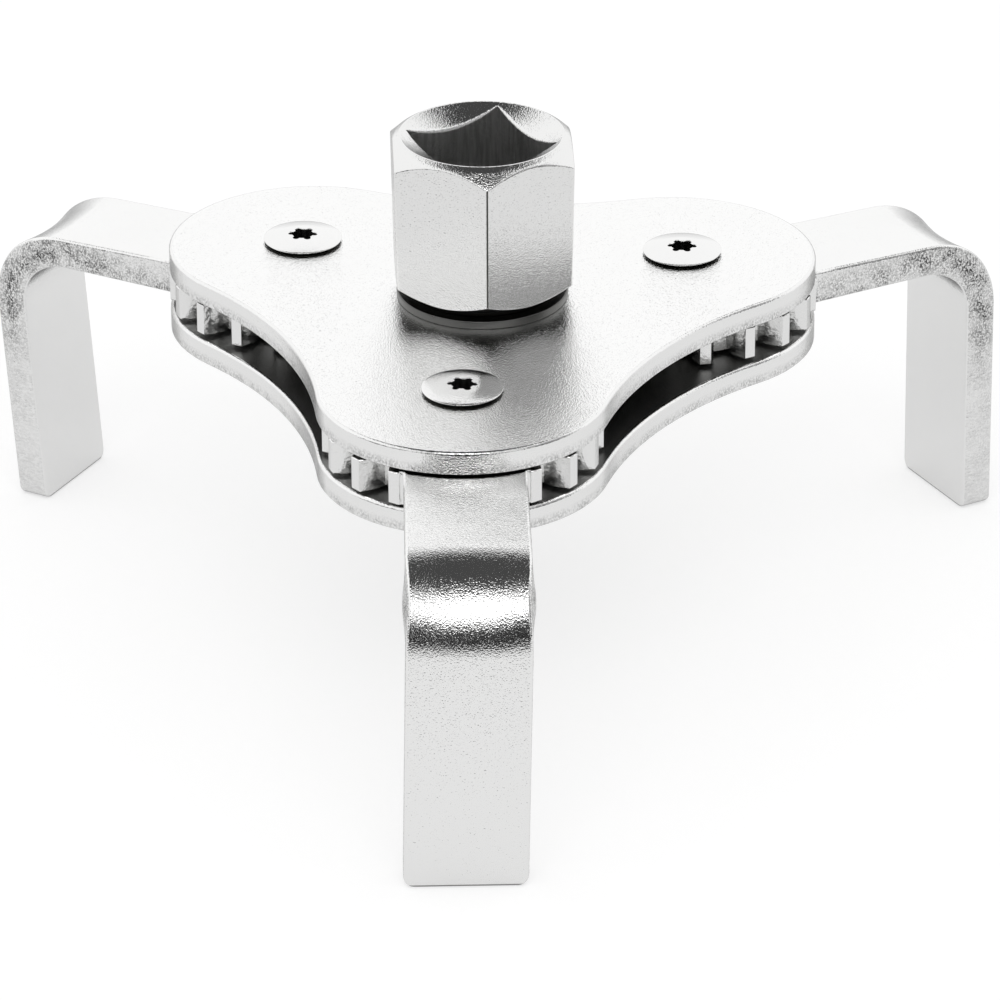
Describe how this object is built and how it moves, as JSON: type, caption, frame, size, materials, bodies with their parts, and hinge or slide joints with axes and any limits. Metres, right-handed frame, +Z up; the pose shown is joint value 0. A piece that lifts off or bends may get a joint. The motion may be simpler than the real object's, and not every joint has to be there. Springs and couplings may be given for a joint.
{
  "type": "oil filter wrench",
  "caption": "Self-gripping oil filter wrench: a drive hub turns a central gear that swings geared, bent jaw arms inward between lobed plates.",
  "frame": {"origin": "on the hub's turning axis, in the plane of the three jaw tips that the wrench stands on", "axes": "+Z up along the hub axis towards the drive; the front lobe lies along -Y, the right lobe at 30 degrees and the left lobe at 150 degrees from +X"},
  "size_m": [0.1231, 0.1106, 0.0613],
  "materials": {
    "plate_nickel": "satin nickel plate over blanked steel",
    "arm_nickel": "satin nickel plate, grainy on sheared edges and bend",
    "hub_nickel": "satin nickel plate over forged steel",
    "screw_nickel": "bright nickel plate",
    "hub_washer_steel": "dark oiled steel",
    "inner_steel": "oiled machined steel",
    "spring_steel": "black oiled spring steel"
  },
  "bodies": {
    "housing": {"top_plate": "plate_nickel", "bottom_plate": "plate_nickel", "hub_washer": "hub_washer_steel", "front_pivot_screw": "screw_nickel", "front_pivot_sleeve": "inner_steel", "front_pivot_nut": "screw_nickel", "front_upper_washer": "inner_steel", "front_lower_washer": "inner_steel", "right_pivot_screw": "screw_nickel", "right_pivot_sleeve": "inner_steel", "right_pivot_nut": "screw_nickel", "right_upper_washer": "inner_steel", "right_lower_washer": "inner_steel", "left_pivot_screw": "screw_nickel", "left_pivot_sleeve": "inner_steel", "left_pivot_nut": "screw_nickel", "left_upper_washer": "inner_steel", "left_lower_washer": "inner_steel"},
    "hub": {"drive_hub": "hub_nickel", "sun_gear": "inner_steel", "lower_washer": "inner_steel", "retaining_ring": "spring_steel"},
    "front_jaw": {"front_arm": "arm_nickel"},
    "right_jaw": {"right_arm": "arm_nickel"},
    "left_jaw": {"left_arm": "arm_nickel"}
  },
  "joints": [
    {"name": "hub_spin", "type": "hinge", "parent": "housing", "child": "hub", "pos_m": [0, 0, 0], "axis": [0, 0, 1], "range_deg": [-127, 139]},
    {"name": "front_arm_swing", "type": "hinge", "parent": "housing", "child": "front_jaw", "pos_m": [0, -0.0264, 0], "axis": [0, 0, 1], "range_deg": [-116, 106]},
    {"name": "right_arm_swing", "type": "hinge", "parent": "housing", "child": "right_jaw", "pos_m": [0.02286, 0.0132, 0], "axis": [0, 0, 1], "range_deg": [-116, 106]},
    {"name": "left_arm_swing", "type": "hinge", "parent": "housing", "child": "left_jaw", "pos_m": [-0.02286, 0.0132, 0], "axis": [0, 0, 1], "range_deg": [-116, 106]}
  ],
  "couplings": [
    {"joint": "front_arm_swing", "follows": "hub_spin", "ratio": -0.83333},
    {"joint": "right_arm_swing", "follows": "hub_spin", "ratio": -0.83333},
    {"joint": "left_arm_swing", "follows": "hub_spin", "ratio": -0.83333}
  ]
}
